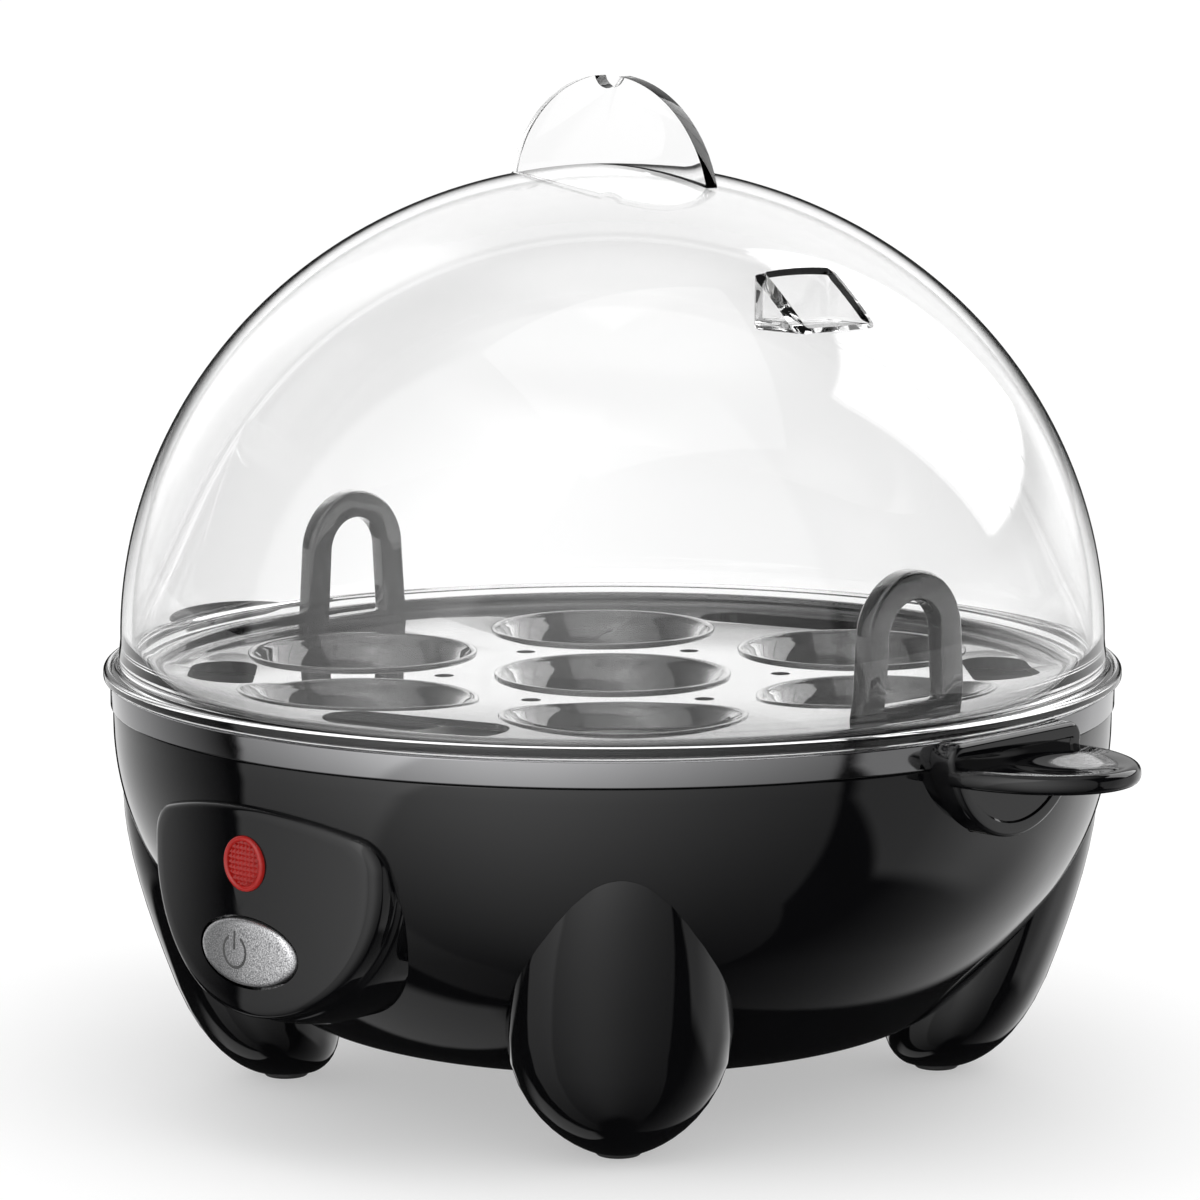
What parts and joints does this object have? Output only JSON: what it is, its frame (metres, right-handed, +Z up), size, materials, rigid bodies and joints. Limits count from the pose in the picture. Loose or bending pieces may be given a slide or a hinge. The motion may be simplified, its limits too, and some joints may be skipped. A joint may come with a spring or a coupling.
{
  "type": "electric egg cooker",
  "caption": "Round table-top steamer with a bowl-shaped base on egg-shaped legs, a lift-out seat tray, a clear domed lid, a lit power button and side grips.",
  "frame": {"origin": "centre of the ground plane under the bowl's axis", "axes": "+Z up, front with the control panel towards -Y, side handles along X"},
  "size_m": [0.2088, 0.1651, 0.1631],
  "materials": {
    "clear_lid": "clear moulded plastic, glossy",
    "smoky_tray": "smoky translucent plastic, glossy",
    "black_housing": "piano black, high gloss",
    "bright_trim": "polished trim ring",
    "red_lens": "red lens with a prism grid",
    "silver_button": "silver speckled paint",
    "dish_metal": "spun metal",
    "zinc_steel": "zinc plated",
    "pad_rubber": "matt rubber",
    "seal_silicone": "grey silicone",
    "inner_plastic": "heat-proof moulding",
    "black_plastic": "matt moulding"
  },
  "bodies": {
    "base": {"base_housing": "black_housing", "leg_front_right": "black_housing", "leg_front_left": "black_housing", "leg_back_right": "black_housing", "leg_back_left": "black_housing", "control_panel": "black_housing", "handle_right": "black_housing", "handle_left": "black_housing", "trim_ring": "bright_trim", "indicator_lens": "red_lens", "heating_plate": "dish_metal", "heating_element": "zinc_steel", "thermostat": "zinc_steel", "retaining_strap": "zinc_steel", "strap_screws": "zinc_steel", "plate_nuts": "zinc_steel", "cover_screws": "zinc_steel", "handle_screws": "zinc_steel", "button_spring": "zinc_steel", "foot_pads": "pad_rubber", "plate_seal": "seal_silicone", "thermal_fuse": "inner_plastic", "terminal_block": "inner_plastic", "indicator_lamp": "inner_plastic", "switch_body": "black_plastic", "switch_bracket": "black_plastic", "bottom_cover": "black_plastic", "cord_inlet": "black_plastic"},
    "tray": {"seat_tray": "smoky_tray", "tray_handle_right": "smoky_tray", "tray_handle_left": "smoky_tray"},
    "lid": {"lid": "clear_lid"},
    "button": {"power_button": "silver_button"}
  },
  "joints": [
    {"name": "tray_lift", "type": "slide", "parent": "base", "child": "tray", "axis": [0, 0, 1], "range_m": [0, 0.08]},
    {"name": "lid_lift", "type": "slide", "parent": "tray", "child": "lid", "axis": [0, 0, 1], "range_m": [0, 0.12]},
    {"name": "button_press", "type": "slide", "parent": "base", "child": "button", "axis": [0, 1, 0], "range_m": [0, 0.002], "stiffness_N_per_m": 400, "springref_m": -0.002, "deforming": ["button_spring"]}
  ]
}
